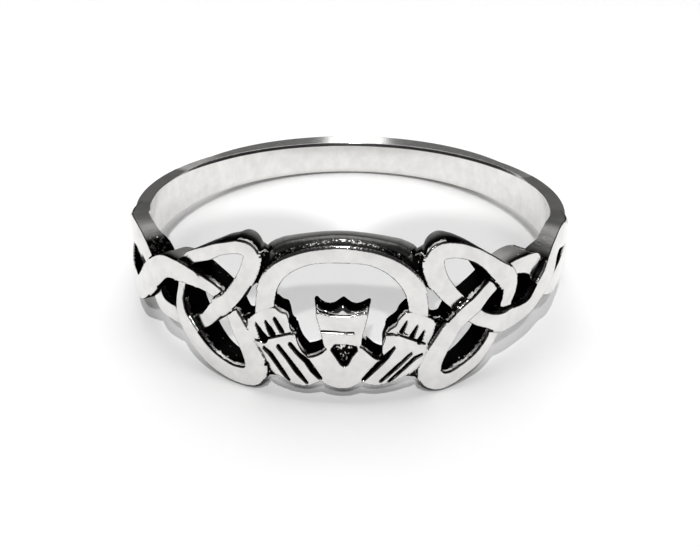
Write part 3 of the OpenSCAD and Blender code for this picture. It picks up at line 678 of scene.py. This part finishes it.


def face_tones(points, state, rim):
    """How black and how flecked the face is, and how much painted sheen lightens it.

    Black lies in the cuts, on the webs, thinly along the rim, and beside a strand that crosses over.
    """
    turn = np.abs(points[:, 0] / ARC)
    under = ramp(state["beside"], *UNDER_BLACK)
    dark = np.maximum.reduce([ramp(state["cut"], *CUT_BLACK), state["web"], under])
    dark[rim] = np.maximum(dark[rim], RIM_BLACK * ramp(turn[rim], *RIM_TURNS))
    in_cut = IN_CUT * ramp(state["cut"], *CUT_SPECKS) + IN_NOTCH * ramp(state["cut"], *NOTCH_SPECKS)
    speck = np.maximum(IN_SHADOW * ramp(state["beside"], *UNDER_SPECKS), in_cut)
    on_bar = (state["web"] > 0) & (points[:, 1] > ON_BAR)
    beaded = np.flatnonzero(on_bar & (turn < BEADS_TO))
    if len(beaded):
        gap, columns = near_line(points[beaded], flat(smooth(ARMS)))
        bead = BEADS * ramp(gap - columns[:, 0] / 2, BEAD_WIDTH, BEAD_WIDTH - BEAD_SOFT)
        speck[beaded] = np.maximum(speck[beaded], bead)
    # painted sheen lightens the black on the arch's bar towards its edge
    sheen = BAR_SHEEN * on_bar * (turn < ARCH_END) * ramp(state["out"], -BAR_EDGE, 0)
    return {"black": dark, "fleck": speck, "painted_sheen": sheen}


def wall_tones(points, up, outer, depth):
    """How flecked the black walls are at a share of their depth, and how much painted sheen lightens them.
    """
    turn = np.abs(points[:, 0] / ARC)
    shoulder = ramp(turn, *SHOULDER_START)
    # painted sheen: the upper outline is lightened more towards the inside, on the arch all the way
    arch = ARCH_SHEEN + ARCH_SHEEN_DEEP * depth
    edge = np.where(turn < ARCH_END, arch, OUTLINE_SHEEN * ramp(depth, *TIPS_SHEEN))
    edge = np.where(turn > SLOPES, OUTLINE_SHEEN * ramp(depth, *SLOPES_SHEEN), edge)
    sheen = outer * np.where(turn < SHOULDER_SLOPE, edge, SIDE_SHEEN * shoulder)
    # walls that look up have a streak, apart from the crown's and most of the upper outline
    tips = (turn >= TIPS[0]) & (turn <= TIPS[1])
    plain = (outer & ~tips) | ((turn < CROWN_END) & (points[:, 1] > 0))
    streak = STREAK * math.exp(-((depth - STREAK_AT) / STREAK_WIDTH) ** 2)
    speck = np.where((up > LOOKS_UP) & ~plain, streak, LEFT_OVER)
    speck += SPECKS_ADDED * (outer & (turn > SHOULDER_SPECKS))
    return speck * (1 - shoulder), sheen


def add_piece(name, points, faces, tones):
    """A piece of the ring from points in its own frame, with the tones that the silver reads."""
    mesh = bpy.data.meshes.new(name)
    rows = in_row(points)
    rows[:, 2] = np.maximum(rows[:, 2], 0)  # nothing goes under the floor
    mesh.from_pydata([tuple(v) for v in rows], [], [tuple(int(i) for i in f) for f in faces])
    mesh.validate()
    mesh.polygons.foreach_set("use_smooth", [True] * len(mesh.polygons))
    for key, values in tones.items():
        layer = mesh.attributes.new(key, "FLOAT", "POINT")
        layer.data.foreach_set("value", np.asarray(values, np.float32))
    mesh.update()
    piece = bpy.data.objects.new(name, mesh)
    bpy.context.scene.collection.objects.link(piece)
    mesh.materials.append(silver)
    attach(piece, "root")
    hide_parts("claddagh_ring")


for name, turn0, turn1 in PARTS:
    points, faces, state = sheet(CELL, turn0, turn1)
    # where one part meets the next there is no wall
    seam = (points[:, 0] > turn1 * ARC - SEAM).astype(int) - (points[:, 0] < turn0 * ARC + SEAM)
    rim = [(a, b) for a, b in rims(faces) if seam[a] == 0 or seam[a] != seam[b]]
    ids = sorted({i for edge in rim for i in edge})
    add_piece("front_" + name, wrap(points, state["top"]), faces, face_tones(points, state, ids))

    order = {number: k for k, number in enumerate(ids)}
    up = state["slope"][ids][:, 1]
    outer = on_top(points, ids) & (up > OUTER_UP)
    edge = points[ids]
    top = state["top"][ids]
    rows = [wrap(inward(edge, depth), top + (inside_r(edge) - top) * depth) for depth in WALL_ROWS]
    tones = [wall_tones(edge, up, outer, depth) for depth in WALL_ROWS]
    many = len(ids)
    walls = [[k + order[b], k + order[a], k + many + order[a], k + many + order[b]]
             for a, b in rim for k in range(0, many * (len(WALL_ROWS) - 1), many)]
    add_piece("walls_" + name, np.vstack(rows), walls, {
        "black": np.ones(many * len(WALL_ROWS)),
        "fleck": np.concatenate([speck for speck, sheen in tones]),
        "painted_sheen": np.concatenate([sheen for speck, sheen in tones])})

# The inside of the front
# The side that lies against the finger, in the same casting. It is turned smooth and polished
# bright all over, with nothing of the black left.
INSIDE_CELL = 0.08
points, faces, state = sheet(INSIDE_CELL, -90, 90)
add_piece("front_inside", wrap(inward(points, 1), inside_r(points)), [f[::-1] for f in faces], {
    "black": np.zeros(len(points)), "fleck": np.zeros(len(points))})

# The band
# Plain polished silver, cast in one with the front. It is softened along its outer edges, filed
# flat along its inner ones and a little crowned, and is thickest at the back.
BAND_FRONT_W = 2.3  # its width where it ends, and the shoulders' strands begin
BAND_STEPS = 320  # sections along it
BACK_ROUNDER = 2.5  # the back's outside circle is set back by this many times the wall that it adds
BACK_SHIFT = (BACK_WALL - (BAND_R - FINGER_R)) * BACK_ROUNDER
BACK_R = FINGER_R + BACK_WALL - BACK_SHIFT
OUTER_EDGE = 0.14  # radius of its outer edges
FILED_W = 0.05  # what is filed off its inner edges: off the wall's thickness
FILED_H = 0.15  # and off its width
BAND_CROWN = 0.03  # how far the middle of its face stands over the sides
CROWN_SHARE = 0.4  # share of half the width at which it has fallen by a third of that
SUPPORT = 0.02  # how near to a flat side's end stands the point that keeps its shading even
ROUND_POINTS = 6
FILED_POINTS = (1.0, 0.9, 0.1, 0.0)  # points across a filed flat, from the band's side to its inside
FRONT_FILED = 0.3  # the share of that filing at the band's ends
FILED_TURNS = (95, 130)  # the turns over which it grows to all
DULL_TURNS = (118, 96)  # the turns over which the upper side grows dull towards the shoulders
UPPER_SIDE = slice(14, 21)  # those of a section's points that are on its upper side


def band_half(turn):
    """Half the band's width at a turn, by how far back it is."""
    y = -BAND_R * math.cos(math.radians(turn))
    end = BAND_R * math.cos(math.radians(BAND_END))
    return BAND_BACK_W / 2 + (BAND_FRONT_W - BAND_BACK_W) / 2 * (BACK_Y - y) / (BACK_Y + end)


def band_section(turn):
    """The band's section at a turn: the radius and z of points going round it."""
    half = band_half(turn)
    towards = math.cos(math.radians(180 - turn))
    back = BACK_SHIFT * towards + math.sqrt(max(BACK_R**2 - BACK_SHIFT**2 * (1 - towards * towards), 0))
    outer = max(BAND_R, back if towards > 0 else 0)
    filed = FRONT_FILED + (1 - FRONT_FILED) * float(ramp(180 - abs(180 - turn), *FILED_TURNS))
    wide = FILED_W * filed
    deep = FILED_H * filed
    side = outer - BAND_CROWN
    rounding = []
    for k in range(ROUND_POINTS + 1):
        angle = math.pi / 2 * k / ROUND_POINTS
        rounding.append((OUTER_EDGE * (1 - math.cos(angle)), OUTER_EDGE * (1 - math.sin(angle))))
    points = [(side - b, -half + a) for a, b in rounding]
    face = outer - BAND_CROWN / 3
    points += [(face, -half * CROWN_SHARE), (outer, 0), (face, half * CROWN_SHARE)]
    points += [(side - a, half - b) for a, b in rounding]
    points += [(side - OUTER_EDGE - SUPPORT, half), (FINGER_R + wide + SUPPORT, half)]
    points += [(FINGER_R + wide * s, half - deep * (1 - s)) for s in FILED_POINTS]
    points += [(FINGER_R, half - deep - SUPPORT), (FINGER_R, 0), (FINGER_R, -half + deep + SUPPORT)]
    points += [(FINGER_R + wide * s, -half + deep * (1 - s)) for s in FILED_POINTS[::-1]]
    return points + [(FINGER_R + wide + SUPPORT, -half)]


turns = np.linspace(BAND_END, 360 - BAND_END, BAND_STEPS)
rings = []
for turn in turns:
    sine = math.sin(math.radians(turn))
    cosine = math.cos(math.radians(turn))
    rings.append([(radius * sine, -radius * cosine, z) for radius, z in band_section(turn)])
size = len(rings[0])
last = len(rings) - 1
faces = [[a * size + k, a * size + (k + 1) % size, (a + 1) * size + (k + 1) % size, (a + 1) * size + k]
         for a in range(last) for k in range(size)]
faces += [list(range(size)), [last * size + k for k in reversed(range(size))]]
# next to the shoulders the upper side is as dark and dull as theirs, with the same painted sheen over its
# black, and the ends are black
dark = np.zeros((len(rings), size))
dark[:, UPPER_SIDE] = ramp(180 - np.abs(180 - turns), *DULL_TURNS)[:, None]
dark[[0, -1]] = 1
add_piece("band", np.array(rings).reshape(-1, 3), faces, {
    "black": dark.ravel(), "painted_sheen": np.full(dark.size, SIDE_SHEEN)})

# The floor
# A plain sheet of white paper that the ring lies on, far larger than what the camera sees.
# Paper is matt and a little off white.
PAPER = "#FAFAFA"
PAPER_ROUGH = 0.9
FLOOR_SIDE = 0.6  # in metres
paper = bpy.data.materials.new("white_paper")
paper.use_nodes = True
sockets = paper.node_tree.nodes["Principled BSDF"].inputs
sockets["Base Color"].default_value = linear(PAPER)
sockets["Roughness"].default_value = PAPER_ROUGH
bpy.ops.mesh.primitive_plane_add(size=FLOOR_SIDE, location=(0, 0, 0))
floor = bpy.context.object
floor.name = "floor"
floor.data.materials.append(paper)

# Light
# A dim room with two lamps in front and a soft box overhead. Three round flags of card in the
# high lamp's beam shade patches of the floor inside the ring. Boards stand behind, dark low
# down and pale above, with a small bright gap. Lengths are in metres, apart from the flags'.
ROOM = 0.03  # how bright the room is
LAMPS = {  # place, sides and power
    "lamp": ((0.0, -0.855, 0.861), (0.04, 0.04), 4.2),
    "high_lamp": ((0.0, -0.6, 1.05), (0.015, 0.015), 5.9),
    "overhead": ((0.0, 0.15, 0.37), (0.5, 0.3), 1.01)}
BOARDS = {  # middle, sides and brightness
    "dark_board": ((0, 0.06, 0.0125), (0.03, 0.021), 0.15),
    "left_board": ((-0.0575, 0.06, 0.0125), (0.085, 0.021), 0.4),
    "right_board": ((0.0575, 0.06, 0.0125), (0.085, 0.021), 0.4),
    "pale_board": ((0, 0.06, 0.04), (0.2, 0.034), 0.9),
    "gap": ((-0.0014, 0.0595, 0.0122), (0.005, 0.005), 3)}
FLAGS = {  # middle and radius of the shaded patch, in millimetres
    "flag_left": (-4.1, 0.0, 4.6),
    "flag_right": (4.4, 0.2, 4.6),
    "flag_middle": (0.1, -3.2, 3.2)}
FLAG_HEIGHT = 100.0  # a flag is this many millimetres up, on the way to the high lamp
FLAG_Y = -57.1  # how far that brings it forward
FLAG_SHARE = 0.905  # and how big it is beside its patch
world = bpy.data.worlds.new("room")
bpy.context.scene.world = world
world.use_nodes = True
background = world.node_tree.nodes["Background"].inputs
background["Color"].default_value = (1, 1, 1, 1)
background["Strength"].default_value = ROOM

for name, (place, sides, power) in LAMPS.items():
    light = bpy.data.lights.new(name, "AREA")
    light.shape = "RECTANGLE"
    light.size = sides[0]
    light.size_y = sides[1]
    light.energy = power
    lamp = bpy.data.objects.new(name, light)
    bpy.context.scene.collection.objects.link(lamp)
    lamp.location = place
    lamp.rotation_euler = (Vector((0, 0, 0)) - Vector(place)).to_track_quat("-Z", "Y").to_euler()

for name, (x, y, radius) in FLAGS.items():
    place = Vector((x, y, 0)) * FLAG_SHARE + Vector((0, FLAG_Y, FLAG_HEIGHT))
    bpy.ops.mesh.primitive_circle_add(
        radius=radius * FLAG_SHARE / 1000, fill_type="NGON", location=place / 1000)
    flag = bpy.context.object
    flag.name = name
    flag.data.materials.append(paper)

for name, ((x, y, z), sides, brightness) in BOARDS.items():
    material = bpy.data.materials.new(name)
    material.use_nodes = True
    tree = material.node_tree
    tree.nodes.clear()
    glow = node(tree, "ShaderNodeEmission", links={"Color": linear("#FFFFFF"), "Strength": brightness})
    node(tree, "ShaderNodeOutputMaterial", links={"Surface": glow.outputs[0]})
    left = x - sides[0] / 2
    right = x + sides[0] / 2
    bottom = z - sides[1] / 2
    top = z + sides[1] / 2
    mesh = bpy.data.meshes.new(name)
    corners = [(left, y, bottom), (right, y, bottom), (right, y, top), (left, y, top)]
    mesh.from_pydata(corners, [], [(0, 1, 2, 3)])
    mesh.materials.append(material)
    board = bpy.data.objects.new(name, mesh)
    bpy.context.scene.collection.objects.link(board)

# Camera
# Fitted to the photo in the ring's own frame: 22.3 degrees above the ring's plane, 50 mm off
# and a shade to the right of the middle, with its film shifted to frame the ring as there.
CAMERA_UP = math.radians(22.336)
CAMERA_TURN = math.radians(1.9)
CAMERA_ROLL = 0.00815
CAMERA_AWAY = 50.0  # in millimetres
NEAREST = 0.001  # nothing nearer than this is drawn, in metres
IMAGE_W = 700
IMAGE_H = 547
RING_X = 350.18  # the pixel on which the middle of the ring's own frame falls
RING_Y = 221.66
FOCUS = 1131.5  # focal length in pixels
SENSOR = 36  # width of the film, in millimetres
reach = math.cos(CAMERA_UP)
back = Vector((reach * math.sin(CAMERA_TURN), -reach * math.cos(CAMERA_TURN), math.sin(CAMERA_UP)))
level = Vector((math.cos(CAMERA_TURN), math.sin(CAMERA_TURN), 0))
upright = back.cross(level)
right = math.cos(CAMERA_ROLL) * level + math.sin(CAMERA_ROLL) * upright
above = -math.sin(CAMERA_ROLL) * level + math.cos(CAMERA_ROLL) * upright
pose = Matrix((right, above, back)).transposed().to_4x4()
pose.translation = back * CAMERA_AWAY / 1000
camera_data = bpy.data.cameras.new("camera")
camera_data.sensor_width = SENSOR
camera_data.sensor_fit = "HORIZONTAL"
camera_data.lens = FOCUS / IMAGE_W * SENSOR
camera_data.shift_x = (IMAGE_W / 2 - RING_X) / IMAGE_W
camera_data.shift_y = (RING_Y - IMAGE_H / 2) / IMAGE_W
camera_data.clip_start = NEAREST
camera = bpy.data.objects.new("camera", camera_data)
bpy.context.scene.collection.objects.link(camera)
camera.matrix_world = PLACE @ pose
bpy.context.scene.camera = camera
bpy.context.scene.view_settings.view_transform = "Standard"
